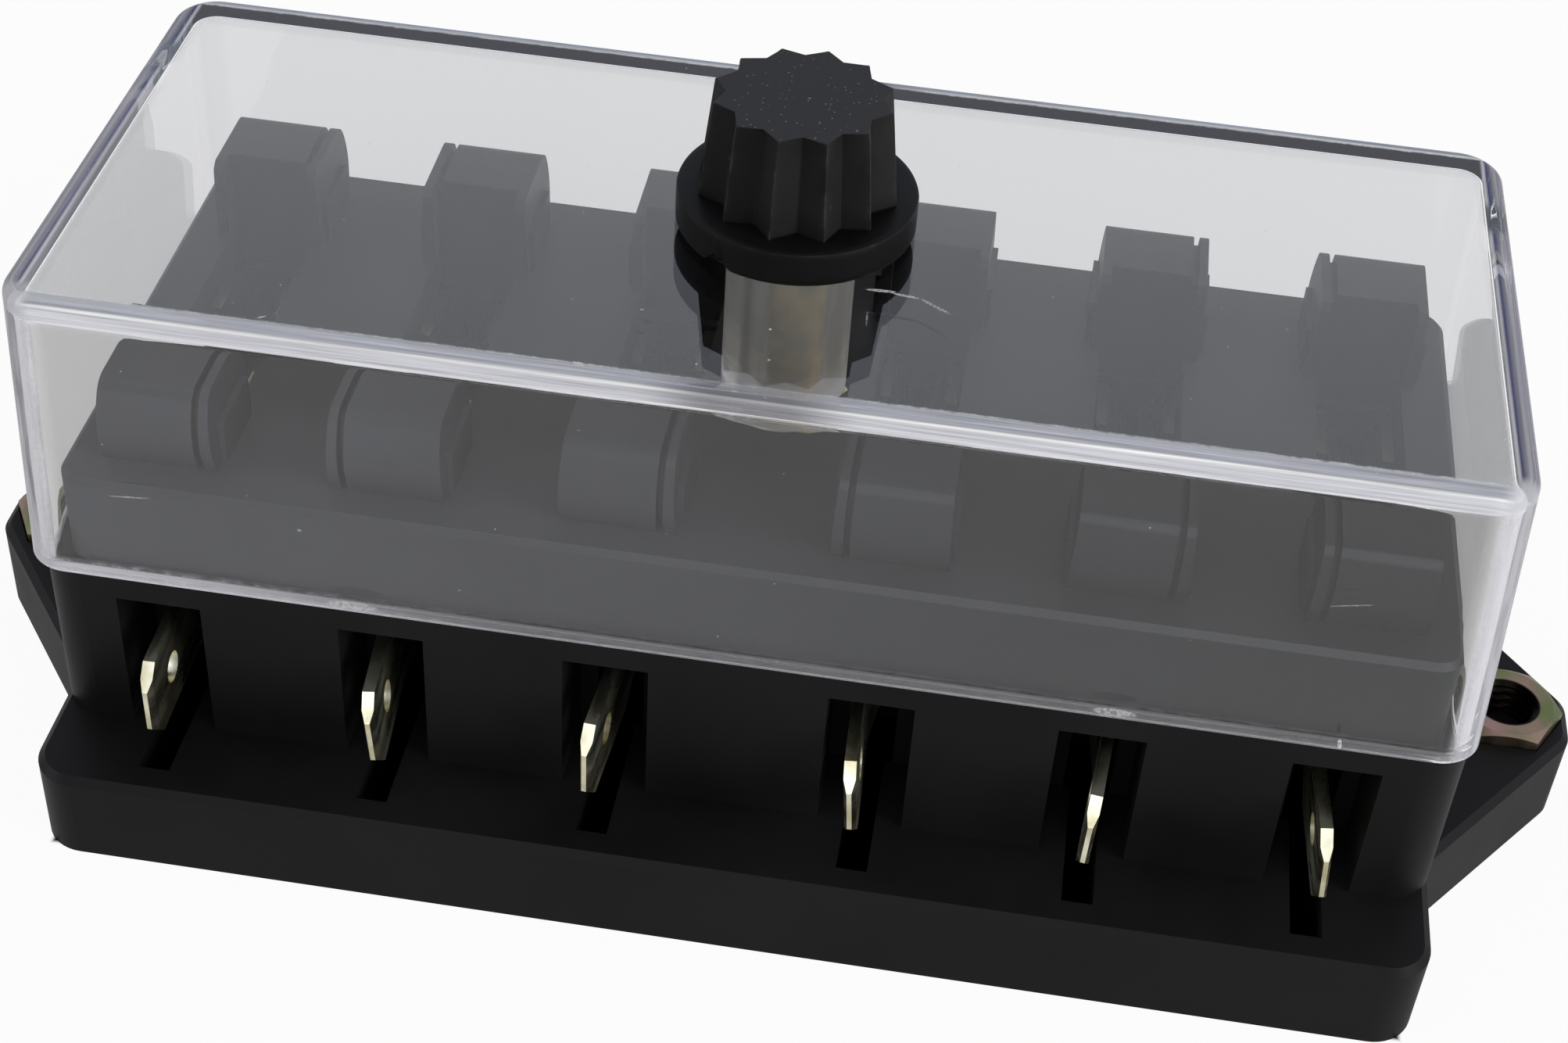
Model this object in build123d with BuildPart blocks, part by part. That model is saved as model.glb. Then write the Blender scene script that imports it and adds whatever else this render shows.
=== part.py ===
from build123d import *
from math import cos, pi, radians, sin, tan
import os

os.makedirs("parts", exist_ok=True)

# A six-way blade fuse holder. Sizes are in millimetres. The origin is the middle of the
# underside, +Z is up, the long side lies along X and the front row of tabs faces -Y.

# Ways: the fuse circuits, in two groups either side of the cover screw
ways_per_side = 3
way_pitch = 15.0
centre_gap = 17.5

# Base plate with its two mounting ears
base_length = 94.0
flange_depth = 52.2
flange_height = 7.0
flange_corner = 3.0
flange_edge_chamfer = 0.5
ear_overhang = 10.8
ear_root_half = 15.7
ear_tip_half = 2.0
ear_tip_round = 2.4
ear_root_round = 1.0

# Body that stands on the plate, with a shoulder for the cover
body_depth = 39.1
body_corner = 3.0
shoulder_z = 20.2
neck_end_step = 1.9
neck_side_step = 1.45
neck_corner = 2.0
deck_z = 27.2
deck_edge_chamfer = 0.4

# Posts that hold each fuse by its two ends
post_inner = 8.2
post_setback = 4.15
post_bulge = 0.45
post_crown_lean = 0.5
post_top_z = 33.3
post_foot_width = 7.6
post_top_width = 7.2
post_outer_round = 1.5
post_inner_chamfer = 0.5
skirt_width = 8.2
skirt_height = 3.2
skirt_inset = 1.0
groove_width = 0.45
groove_depth = 0.7
cheek_thickness = 0.6

# Blade fuse that the pockets are made for
fuse_length = 19.1
fuse_thickness = 5.1
fuse_blade_centre = 4.75
fuse_end_clearance = 0.15
fuse_side_clearance = 0.4
fuse_seat_depth = 2.8

# Stamped blade terminal: an outside tab and an inside clip
sheet = 0.8
tab_height = 6.3
tab_mid_z = 12.5
tab_reach = 4.4
tab_corner_length = 1.5
tab_corner_height = 1.5
tab_bevel_length = 0.65
tab_bevel_edge = 0.32
tab_hole_diameter = 2.2
tab_hole_from_tip = 4.4
tab_straight_length = 9.6
clip_width = 4.8
clip_half_gap = 1.5
clip_foot_z = 8.8
clip_foot_slope = 0.9
clip_waist_z = 16.0
clip_pinch_z = 22.6
clip_pinch_half = 0.35
clip_lip_z = 25.3
clip_lip_half = 1.9
clip_end_clearance = 0.25
jog_length = 1.8

# How the front tabs have been bent in use: each one's lean about its own length and its
# swing about the vertical, in degrees, and how far its tip stands to the side
front_leans = (0.0, -4.0, 0.0, -4.5, 1.5, -5.0)
front_swings = (-1.5, -5.3, 3.7, -2.0, 4.8, -3.4)
front_tip_shifts = (0.15, 0.23, -0.5, -0.52, -0.12, 0.1)

# Windows and channels for the terminals
window_width = 5.7
window_top_z = 18.15
window_depth = 6.0
channel_width = 2.1
channel_edge = 2.2
neck_channel_width = 3.2
terminal_clearance = 0.1

# Cored-out pockets in the underside, between the ways
core_rib = 1.8
core_wall = 2.2
core_roof = 2.6

# Mounting nuts in the ears
nut_from_ear_tip = 4.6
nut_flats = 7.0
nut_height = 3.2
nut_bore = 4.0
nut_proud = 1.0
nut_chamfer = 0.45
nut_clearance = 0.1
ear_hole = 4.5

# Cover screw and its insert
stud_diameter = 4.0
stud_end_z = 19.6
stud_clearance = 0.06
stud_lead = 0.5
insert_flats = 7.0
insert_length = 9.0
moulded_in_clearance = 0.02

# Clear cover
cover_rim_gap = 0.13
cover_end_overhang = 0.5
cover_side_overhang = 0.55
cover_top_z = 41.3
cover_end_draft = 0.9
cover_side_draft = 1.0
cover_wall = 1.35
cover_top_wall = 1.9
cover_corner = 3.0
cover_top_round = 0.9
cover_inner_chamfer = 1.0
pillar_diameter = 8.5
pillar_bore = 4.5
pillar_foot_gap = 0.15

# Knob
knob_seat_gap = 0.3
knob_rim_diameter = 15.6
knob_rim_height = 2.4
knob_rim_chamfer = 0.3
knob_points = 12
knob_foot_diameter = 13.2
knob_top_diameter = 11.7
knob_valley_ratio = 0.815
knob_rest_turn = 22.0
knob_height = 9.1
stud_head_flats = 6.0
stud_head_height = 3.0
stud_head_below_top = 2.4

# Places worked out from the sizes above
half_length = base_length / 2
half_depth = flange_depth / 2
ear_reach = half_length + ear_overhang
nut_place = ear_reach - nut_from_ear_tip
way_side = [centre_gap / 2 + number * way_pitch for number in range(ways_per_side)]
way_places = [-place for place in reversed(way_side)] + way_side
rows = (-1, 1)
body_half_depth = body_depth / 2
post_foot = body_half_depth - post_setback
neck_length = base_length - 2 * neck_end_step
neck_depth = body_depth - 2 * neck_side_step
seat_length = fuse_length + 2 * fuse_end_clearance
seat_width = fuse_thickness + 2 * fuse_side_clearance
seat_floor_z = deck_z - fuse_seat_depth
clip_near = fuse_blade_centre - clip_width / 2
clip_far = fuse_blade_centre + clip_width / 2
well_near = clip_near - clip_end_clearance
well_far = clip_far + jog_length
window_back = body_half_depth - window_depth
tab_straight_from = body_half_depth + tab_reach - tab_straight_length
channel_reach = half_depth - channel_edge
channel_top_z = tab_mid_z + tab_height / 2 + terminal_clearance
cover_foot_z = shoulder_z + cover_rim_gap
cover_foot_length = base_length + 2 * cover_end_overhang
cover_foot_depth = body_depth + 2 * cover_side_overhang
cover_rise = cover_top_z - cover_foot_z
knob_foot_z = cover_top_z + knob_seat_gap
knob_body_z = knob_foot_z + knob_rim_height
knob_top_z = knob_foot_z + knob_height
stud_head_top_z = knob_top_z - stud_head_below_top
stud_head_foot_z = stud_head_top_z - stud_head_height


def post_outline():
    """Line around one front post, seen from its side, as y and z."""
    bulge_z = (deck_z + post_top_z) / 2 + 0.2 * (post_top_z - deck_z)
    crown = post_foot - post_crown_lean
    Polyline((-post_foot, deck_z), (-post_inner, deck_z), (-post_inner, post_top_z), (-crown, post_top_z))
    ThreePointArc((-crown, post_top_z), (-post_foot - post_bulge, bulge_z), (-post_foot, deck_z))


def make_post(groove_side):
    """One front post at x = 0, with its groove on the side given as 1 or -1."""
    with BuildPart() as post:
        with BuildSketch(Plane.YZ) as outline:
            with BuildLine():
                post_outline()
            make_face()
            crown = outline.vertices().group_by(Axis.Y)[-1].sort_by(Axis.X)
            fillet(crown[0], post_outer_round)
            chamfer(outline.vertices().group_by(Axis.Y)[-1].sort_by(Axis.X)[-1], post_inner_chamfer)
        extrude(amount=post_foot_width / 2, both=True)
        with BuildSketch(Plane.XZ):
            with BuildLine():
                Polyline(
                    (-post_foot_width / 2, deck_z),
                    (post_foot_width / 2, deck_z),
                    (post_top_width / 2, post_top_z),
                    (-post_top_width / 2, post_top_z),
                    close=True,
                )
            make_face()
        extrude(amount=body_half_depth, mode=Mode.INTERSECT)
        groove_outer = post_top_width / 2 - cheek_thickness
        groove_centre = groove_side * (groove_outer - groove_width / 2)
        with BuildSketch(Plane.YZ.offset(groove_centre)):
            with BuildLine():
                post_outline()
            make_face()
            offset(amount=-groove_depth, mode=Mode.SUBTRACT)
            with Locations((-body_half_depth, deck_z)):
                Rectangle(
                    body_half_depth - post_inner - post_outer_round,
                    post_top_z - deck_z,
                    align=(Align.MIN, Align.MIN),
                    mode=Mode.INTERSECT,
                )
        extrude(amount=groove_width / 2, both=True, mode=Mode.SUBTRACT)
        with BuildSketch(Plane.XY.offset(deck_z)):
            with Locations((0, -(post_inner + post_foot) / 2)):
                Rectangle(skirt_width, post_foot - post_inner - 2 * skirt_inset)
        extrude(amount=skirt_height)
    return post.part


front_posts = [make_post(1 if number % 2 == 0 else -1) for number in range(len(way_places))]

# Base: plate, ears, body, posts and every pocket, one black moulding
with BuildPart() as base_housing:
    with BuildSketch() as plate:
        with BuildLine():
            Polyline(
                (half_length, half_depth),
                (half_length, ear_root_half),
                (ear_reach, ear_tip_half),
                (ear_reach, -ear_tip_half),
                (half_length, -ear_root_half),
                (half_length, -half_depth),
                (-half_length, -half_depth),
                (-half_length, -ear_root_half),
                (-ear_reach, -ear_tip_half),
                (-ear_reach, ear_tip_half),
                (-half_length, ear_root_half),
                (-half_length, half_depth),
                close=True,
            )
        make_face()
        past_body = (half_length + ear_reach) / 2
        past_ears = (half_depth + ear_root_half) / 2
        fillet(plate.vertices().filter_by(lambda corner: abs(corner.Y) > past_ears), flange_corner)
        fillet(plate.vertices().filter_by(lambda corner: abs(corner.X) > past_body), ear_tip_round)
        roots = plate.vertices().filter_by(lambda corner: abs(abs(corner.Y) - ear_root_half) < ear_root_round / 2)
        fillet(roots, ear_root_round)
    extrude(amount=flange_height)
    chamfer(faces().sort_by(Axis.Z)[-1].edges(), flange_edge_chamfer)

    with BuildSketch():
        RectangleRounded(base_length, body_depth, body_corner)
    extrude(amount=shoulder_z)
    with BuildSketch(Plane.XY.offset(flange_height)):
        RectangleRounded(neck_length, neck_depth, neck_corner)
    extrude(amount=deck_z - flange_height)
    chamfer(faces().sort_by(Axis.Z)[-1].edges(), deck_edge_chamfer)

    for place, post in zip(way_places, front_posts):
        with Locations((place, 0, 0)):
            add(post)
            add(mirror(post, about=Plane.XZ, mode=Mode.PRIVATE))

    # Seat for the fuse body, cut down between the posts and into their inner faces
    with BuildSketch(Plane.XY.offset(seat_floor_z)):
        with Locations([(place, 0) for place in way_places]):
            Rectangle(seat_width, seat_length)
    extrude(amount=post_top_z - seat_floor_z, mode=Mode.SUBTRACT)

    # Wells for the clips, open to the underside
    well_places = [(place, row * (well_near + well_far) / 2) for place in way_places for row in rows]
    with BuildSketch():
        with Locations(well_places):
            Rectangle(seat_width, well_far - well_near)
    extrude(amount=seat_floor_z, mode=Mode.SUBTRACT)

    # Channels that let the terminals in from below, through the wall behind each window
    # and out through the ledge of the plate
    for width, start, end in (
        (neck_channel_width, well_far, window_back),
        (channel_width, window_back, channel_reach),
    ):
        with BuildSketch():
            with Locations([(place, row * (start + end) / 2) for place in way_places for row in rows]):
                Rectangle(width, end - start)
        extrude(amount=channel_top_z, mode=Mode.SUBTRACT)

    # Windows round the tabs
    window_places = [(place, row * (window_back + window_depth / 2)) for place in way_places for row in rows]
    with BuildSketch(Plane.XY.offset(flange_height)):
        with Locations(window_places):
            Rectangle(window_width, window_depth)
    extrude(amount=window_top_z - flange_height, mode=Mode.SUBTRACT)

    # Cored-out pockets between the ways, and either side of the insert in the middle
    core_half_depth = body_half_depth - core_wall
    outer_gaps = [(near + far) / 2 for near, far in zip(way_side, way_side[1:])]
    boss_half = insert_flats / 2 + core_rib
    with BuildSketch():
        with Locations([(side * gap, 0) for gap in outer_gaps for side in (-1, 1)]):
            Rectangle(way_pitch - seat_width - 2 * core_rib, 2 * core_half_depth)
        with Locations([(0, row * (boss_half + core_half_depth) / 2) for row in rows]):
            Rectangle(centre_gap - seat_width - 2 * core_rib, core_half_depth - boss_half)
    extrude(amount=deck_z - core_roof, mode=Mode.SUBTRACT)

    # Nut pockets and screw holes in the ears
    nut_places = [(-nut_place, 0), (nut_place, 0)]
    nut_foot_z = flange_height + nut_proud - nut_height
    with BuildSketch(Plane.XY.offset(nut_foot_z)):
        with Locations(nut_places):
            RegularPolygon(nut_flats / 2 + nut_clearance, 6, major_radius=False)
    extrude(amount=nut_height, mode=Mode.SUBTRACT)
    with BuildSketch():
        with Locations(nut_places):
            Circle(ear_hole / 2)
    extrude(amount=nut_foot_z, mode=Mode.SUBTRACT)

    # Seat of the threaded insert
    with BuildSketch(Plane.XY.offset(deck_z - insert_length - moulded_in_clearance)):
        RegularPolygon(insert_flats / 2 + moulded_in_clearance, 6, major_radius=False)
    extrude(amount=insert_length + moulded_in_clearance, mode=Mode.SUBTRACT)

base_housing.part.label = "base_housing"
export_step(base_housing.part, "parts/base_housing.step")


def make_terminal(lean, swing, tip_shift):
    """One front terminal at x = 0, its tab bent by lean and swing, its tip to the side."""
    root_shift = tip_shift + tab_straight_length * sin(radians(swing))
    tab_root = Location((root_shift, -tab_straight_from, tab_mid_z), (0, lean, -swing))
    with BuildPart() as terminal:
        # Tab with cut corners, a hole and a bevelled tip
        with BuildSketch(Plane(tab_root * Plane.YZ.location)):
            with BuildLine():
                Polyline(
                    (0, -tab_height / 2),
                    (-tab_straight_length + tab_corner_length, -tab_height / 2),
                    (-tab_straight_length, -tab_height / 2 + tab_corner_height),
                    (-tab_straight_length, tab_height / 2 - tab_corner_height),
                    (-tab_straight_length + tab_corner_length, tab_height / 2),
                    (0, tab_height / 2),
                    close=True,
                )
            make_face()
            with Locations((-tab_straight_length + tab_hole_from_tip, 0)):
                Circle(tab_hole_diameter / 2, mode=Mode.SUBTRACT)
        extrude(amount=sheet / 2, both=True)
        with BuildSketch(Plane(tab_root)):
            with BuildLine():
                Polyline(
                    (-sheet / 2, 0),
                    (-sheet / 2, -tab_straight_length + tab_bevel_length),
                    (-tab_bevel_edge / 2, -tab_straight_length),
                    (tab_bevel_edge / 2, -tab_straight_length),
                    (sheet / 2, -tab_straight_length + tab_bevel_length),
                    (sheet / 2, 0),
                    close=True,
                )
            make_face()
        extrude(amount=tab_height, both=True, mode=Mode.INTERSECT)

        # Neck of the strip, which takes up the bend between the tab and the clip
        clip_root = Location((0, -well_far, tab_mid_z))
        for root in (tab_root, clip_root):
            with BuildSketch(Plane(root * Plane.XZ.location)):
                Rectangle(sheet, tab_height)
        loft(ruled=True)

        # Jog from the middle of the way to the clip's first leaf
        leaf_outer = clip_half_gap + sheet
        with BuildSketch(Plane.XY.offset(tab_mid_z - tab_height / 2)):
            with BuildLine():
                Polyline(
                    (-sheet / 2, -well_far),
                    (sheet / 2, -well_far),
                    (-clip_half_gap, -clip_far),
                    (-clip_half_gap, -clip_far + sheet),
                    (-leaf_outer, -clip_far + sheet),
                    (-leaf_outer, -clip_far - sheet / 2),
                    close=True,
                )
            make_face()
        extrude(amount=tab_height)

        # Clip: two leaves joined by a bent foot, pinched and with flared lips
        foot_miter = sheet * tan(pi / 8)
        with BuildSketch(Plane.XZ.offset(clip_near)):
            with BuildLine():
                Polyline(
                    (0, clip_foot_z),
                    (clip_half_gap - clip_foot_slope, clip_foot_z),
                    (clip_half_gap, clip_foot_z + clip_foot_slope),
                    (clip_half_gap, clip_waist_z),
                    (clip_pinch_half, clip_pinch_z),
                    (clip_lip_half, clip_lip_z),
                    (clip_lip_half + sheet, clip_lip_z),
                    (clip_pinch_half + sheet, clip_pinch_z),
                    (leaf_outer, clip_waist_z),
                    (leaf_outer, clip_foot_z + clip_foot_slope - foot_miter),
                    (clip_half_gap - clip_foot_slope + foot_miter, clip_foot_z - sheet),
                    (0, clip_foot_z - sheet),
                    close=True,
                )
            make_face()
            mirror(about=Plane.YZ)
        extrude(amount=clip_width)
    return terminal.part


bends = zip(front_leans, front_swings, front_tip_shifts)
for number, (place, bend) in enumerate(zip(way_places, bends), 1):
    front_terminal = Pos(place, 0, 0) * make_terminal(*bend)
    front_terminal.label = f"front_terminal_{number}"
    export_step(front_terminal, f"parts/front_terminal_{number}.step")
    rear_terminal = Pos(place, 0, 0) * Rot(0, 0, 180) * make_terminal(0, 0, 0)
    rear_terminal.label = f"rear_terminal_{number}"
    export_step(rear_terminal, f"parts/rear_terminal_{number}.step")

# Hex nut, made in the middle of the part and moved to each ear
with BuildPart() as nut:
    with BuildSketch(Plane.XY.offset(nut_foot_z)):
        RegularPolygon(nut_flats / 2, 6, major_radius=False)
        Circle(nut_bore / 2, mode=Mode.SUBTRACT)
    extrude(amount=nut_height)
    nut_corner = nut_flats / 2 / cos(pi / 6)
    with BuildSketch(Plane.XZ):
        with BuildLine():
            Polyline(
                (0, nut_foot_z),
                (nut_corner, nut_foot_z),
                (nut_corner, nut_foot_z + nut_height - nut_chamfer),
                (nut_flats / 2, nut_foot_z + nut_height),
                (0, nut_foot_z + nut_height),
                close=True,
            )
        make_face()
    revolve(axis=Axis.Z, mode=Mode.INTERSECT)

for side, (place, level) in zip(("left", "right"), nut_places):
    mounting_nut = Pos(place, level, 0) * nut.part
    mounting_nut.label = f"{side}_mounting_nut"
    export_step(mounting_nut, f"parts/{side}_mounting_nut.step")

# Six-sided threaded insert in the middle of the deck
with BuildPart() as thread_insert:
    with BuildSketch(Plane.XY.offset(deck_z - insert_length)):
        RegularPolygon(insert_flats / 2, 6, major_radius=False)
        Circle(stud_diameter / 2 + stud_clearance, mode=Mode.SUBTRACT)
    extrude(amount=insert_length)

thread_insert.part.label = "thread_insert"
export_step(thread_insert.part, "parts/thread_insert.step")


def cover_section(level, inset):
    """Rounded rectangle of the cover at a level, drawn inset from its outside."""
    rise = (level - cover_foot_z) / cover_rise
    RectangleRounded(
        cover_foot_length - 2 * cover_end_draft * rise - 2 * inset,
        cover_foot_depth - 2 * cover_side_draft * rise - 2 * inset,
        cover_corner - inset,
    )


# Room inside the cover, its ceiling sloped into the walls
with BuildPart() as cover_room:
    for level in (cover_foot_z, cover_top_z - cover_top_wall):
        with BuildSketch(Plane.XY.offset(level)):
            cover_section(level, cover_wall)
    loft(ruled=True)
    chamfer(faces().sort_by(Axis.Z)[-1].edges(), cover_inner_chamfer)

# Clear cover with its pillar, one moulding
with BuildPart() as cover:
    for level in (cover_foot_z, cover_top_z):
        with BuildSketch(Plane.XY.offset(level)):
            cover_section(level, 0)
    loft(ruled=True)
    fillet(faces().sort_by(Axis.Z)[-1].edges(), cover_top_round)
    add(cover_room.part, mode=Mode.SUBTRACT)
    with BuildSketch(Plane.XY.offset(deck_z + pillar_foot_gap)):
        Circle(pillar_diameter / 2)
    extrude(amount=cover_top_z - cover_top_wall / 2 - deck_z - pillar_foot_gap)
    with BuildSketch(Plane.XY.offset(deck_z)):
        Circle(pillar_bore / 2)
    extrude(amount=cover_top_z - deck_z, mode=Mode.SUBTRACT)

cover.part.label = "cover"
export_step(cover.part, "parts/cover.step")


def star_points(diameter):
    """Corners of the knob's fluted outline, its ridges on the given diameter."""
    steps = 2 * knob_points
    turns = [radians(knob_rest_turn) + 2 * pi * step / steps for step in range(steps)]
    reaches = [diameter / 2 if step % 2 == 0 else diameter / 2 * knob_valley_ratio for step in range(steps)]
    return [(reach * cos(turn), reach * sin(turn)) for turn, reach in zip(turns, reaches)]


# Knob: a round rim and a tapered fluted grip, moulded over the head of the stud
with BuildPart() as knob:
    with BuildSketch(Plane.XY.offset(knob_foot_z)):
        Circle(knob_rim_diameter / 2)
    extrude(amount=knob_rim_height)
    chamfer(edges().sort_by(Axis.Z)[-1], knob_rim_chamfer)
    for level, diameter in ((knob_body_z, knob_foot_diameter), (knob_top_z, knob_top_diameter)):
        with BuildSketch(Plane.XY.offset(level)):
            with BuildLine():
                Polyline(star_points(diameter), close=True)
            make_face()
    loft(ruled=True)
    with BuildSketch(Plane.XY.offset(knob_foot_z)):
        Circle(stud_diameter / 2 + moulded_in_clearance)
    extrude(amount=stud_head_foot_z - knob_foot_z, mode=Mode.SUBTRACT)
    with BuildSketch(Plane.XY.offset(stud_head_foot_z - moulded_in_clearance)):
        RegularPolygon(stud_head_flats / 2 + moulded_in_clearance, 6, major_radius=False)
    extrude(amount=stud_head_height + 2 * moulded_in_clearance, mode=Mode.SUBTRACT)

knob.part.label = "knob"
export_step(knob.part, "parts/knob.step")

# Stud moulded into the knob
with BuildPart() as knob_stud:
    with BuildSketch(Plane.XY.offset(stud_end_z)):
        Circle(stud_diameter / 2)
    extrude(amount=stud_head_top_z - stud_end_z)
    chamfer(faces().sort_by(Axis.Z)[0].edges(), stud_lead)
    with BuildSketch(Plane.XY.offset(stud_head_foot_z)):
        RegularPolygon(stud_head_flats / 2, 6, major_radius=False)
    extrude(amount=stud_head_height)

knob_stud.part.label = "knob_stud"
export_step(knob_stud.part, "parts/knob_stud.step")
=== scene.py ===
import math

import bmesh
import bpy
from mathutils import Matrix, Vector


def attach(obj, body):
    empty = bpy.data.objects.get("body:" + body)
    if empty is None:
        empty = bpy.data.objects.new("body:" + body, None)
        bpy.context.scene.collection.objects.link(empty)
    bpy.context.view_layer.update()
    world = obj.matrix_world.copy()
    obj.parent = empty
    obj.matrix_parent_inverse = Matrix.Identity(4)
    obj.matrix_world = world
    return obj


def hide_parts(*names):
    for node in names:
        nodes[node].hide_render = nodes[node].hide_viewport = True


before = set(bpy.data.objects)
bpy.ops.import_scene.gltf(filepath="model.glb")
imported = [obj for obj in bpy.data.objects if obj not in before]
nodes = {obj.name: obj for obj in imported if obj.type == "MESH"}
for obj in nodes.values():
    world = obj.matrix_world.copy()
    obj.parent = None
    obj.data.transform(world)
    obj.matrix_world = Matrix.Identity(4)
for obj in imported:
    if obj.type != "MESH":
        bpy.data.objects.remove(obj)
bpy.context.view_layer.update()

mm = 0.001


# Node helpers, shared by every material

def startMaterial(name, finish):
    material = bpy.data.materials.new(name)
    material.use_nodes = True
    tree = material.node_tree
    shader = tree.nodes["Principled BSDF"]
    shader.inputs["Base Color"].default_value = (*finish["colour"], 1)
    shader.inputs["Roughness"].default_value = finish["roughness"]
    shader.inputs["Metallic"].default_value = finish.get("metallic", 0)
    shader.inputs["Specular IOR Level"].default_value = finish.get("specular", 0.5)
    return material, tree, shader


def link(tree, source, target):
    tree.links.new(source, target)


def objectPoint(tree, stretch=(1, 1, 1)):
    coords = tree.nodes.new("ShaderNodeTexCoord")
    mapping = tree.nodes.new("ShaderNodeMapping")
    mapping.inputs["Scale"].default_value = stretch
    link(tree, coords.outputs["Object"], mapping.inputs["Vector"])
    return mapping.outputs["Vector"]


def noise(tree, point, scale, detail=3, roughness=0.5):
    node = tree.nodes.new("ShaderNodeTexNoise")
    node.inputs["Scale"].default_value = scale
    node.inputs["Detail"].default_value = detail
    node.inputs["Roughness"].default_value = roughness
    link(tree, point, node.inputs["Vector"])
    return node.outputs["Fac"]


def ramp(tree, value, stops):
    node = tree.nodes.new("ShaderNodeValToRGB")
    elements = node.color_ramp.elements
    while len(elements) < len(stops):
        elements.new(0.5)
    for element, (place, colour) in zip(elements, stops):
        element.position = place
        element.color = (*colour, 1) if isinstance(colour, tuple) else (colour, colour, colour, 1)
    link(tree, value, node.inputs["Fac"])
    return node.outputs["Color"]


def mathNode(tree, operation, first, second):
    node = tree.nodes.new("ShaderNodeMath")
    node.operation = operation
    for socket, value in zip(node.inputs, (first, second)):
        if isinstance(value, (int, float)):
            socket.default_value = value
        else:
            link(tree, value, socket)
    return node.outputs["Value"]


def plus(tree, first, second):
    return mathNode(tree, "ADD", first, second)


def minus(tree, first, second):
    return mathNode(tree, "SUBTRACT", first, second)


def largest(tree, first, second):
    return mathNode(tree, "MAXIMUM", first, second)


def smallest(tree, first, second):
    return mathNode(tree, "MINIMUM", first, second)


def absolute(tree, value):
    return mathNode(tree, "ABSOLUTE", value, 0)


def mixColour(tree, factor, first, second):
    node = tree.nodes.new("ShaderNodeMix")
    node.data_type = "RGBA"
    link(tree, factor, node.inputs["Factor"])
    for socket, value in ((node.inputs["A"], first), (node.inputs["B"], second)):
        if isinstance(value, tuple):
            socket.default_value = (*value, 1)
        else:
            link(tree, value, socket)
    return node.outputs["Result"]


def mixValue(tree, factor, first, second):
    node = tree.nodes.new("ShaderNodeMix")
    for name, value in (("Factor", factor), ("A", first), ("B", second)):
        socket = node.inputs[name]
        if isinstance(value, (int, float)):
            socket.default_value = value
        else:
            link(tree, value, socket)
    return node.outputs["Result"]


def bump(tree, shader, height, strength, distance):
    node = tree.nodes.new("ShaderNodeBump")
    node.inputs["Strength"].default_value = strength
    node.inputs["Distance"].default_value = distance
    link(tree, height, node.inputs["Height"])
    link(tree, node.outputs["Normal"], shader.inputs["Normal"])
    return node


def between(tree, value, low, high):
    # 0 below low, 1 above high and smooth from one to the other
    node = tree.nodes.new("ShaderNodeMapRange")
    node.interpolation_type = "SMOOTHSTEP"
    node.inputs["From Min"].default_value = low
    node.inputs["From Max"].default_value = high
    link(tree, value, node.inputs["Value"])
    return node.outputs["Result"]


def below(tree, value, high, low):
    return minus(tree, 1, between(tree, value, high, low))


def times(tree, *values):
    product = values[0]
    for value in values[1:]:
        product = mathNode(tree, "MULTIPLY", product, value)
    return product


def axes(tree, point):
    node = tree.nodes.new("ShaderNodeSeparateXYZ")
    link(tree, point, node.inputs["Vector"])
    return node.outputs["X"], node.outputs["Y"], node.outputs["Z"]


def joined(tree, x, y, z):
    node = tree.nodes.new("ShaderNodeCombineXYZ")
    for socket, value in zip(node.inputs, (x, y, z)):
        if isinstance(value, (int, float)):
            socket.default_value = value
        else:
            link(tree, value, socket)
    return node.outputs["Vector"]


def specks(tree, point, scale, size, share):
    # Small round spots: the middles of some cells of a Voronoi pattern
    cells = tree.nodes.new("ShaderNodeTexVoronoi")
    cells.inputs["Scale"].default_value = scale
    link(tree, point, cells.inputs["Vector"])
    near = mathNode(tree, "LESS_THAN", cells.outputs["Distance"], size)
    separate = tree.nodes.new("ShaderNodeSeparateColor")
    link(tree, cells.outputs["Color"], separate.inputs["Color"])
    chosen = mathNode(tree, "LESS_THAN", separate.outputs["Red"], share)
    return mathNode(tree, "MULTIPLY", near, chosen)


# Materials

mouldingFinish = {
    # The values from the inside colour to the arris tone are painted light and shade, fitted to
    # this photo's light and to what the clear wall adds to it. They are no property of the plastic
    "colour": (0.0070, 0.0068, 0.0070),
    "dark": (0.0052, 0.0050, 0.0051),
    "light": (0.0092, 0.0090, 0.0091),
    "dust": (0.07, 0.062, 0.05),
    "roughness": 0.5,
    "specular": 0.10,
    "cloudScale": 70,
    "grainScale": 2600,
    "insideZ": 20.25,
    "insideFade": 0.3,
    "inside": (0.0225, 0.0230, 0.0265),
    "paintedSideShade": (0.25, 0.9),
    "paintedFrontLight": (0.6, 2.5),
    "paintedRearShade": 0.25,
    "paintedDeckLightAndShade": (1.05, -0.45),
    "frontReach": (-11, -6),
    "paintedArrisHighlight": 2.4,
    "leftToRight": (-50, 50),
    "facingFrom": (0.35, 0.75),
    "sidewaysFrom": (0.5, 0.8),
    "arrisFrom": (0.5, 0.62),
    "dustSpecks": (420, 0.035, 0.10),
    "roughSpread": (-0.08, 0.1),
    "grainBump": (0.06, 0.00003),
}


def scaled(tree, colour, factor):
    node = tree.nodes.new("ShaderNodeVectorMath")
    node.operation = "SCALE"
    node.inputs[0].default_value = colour
    link(tree, factor, node.inputs["Scale"])
    return node.outputs["Vector"]


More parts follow.
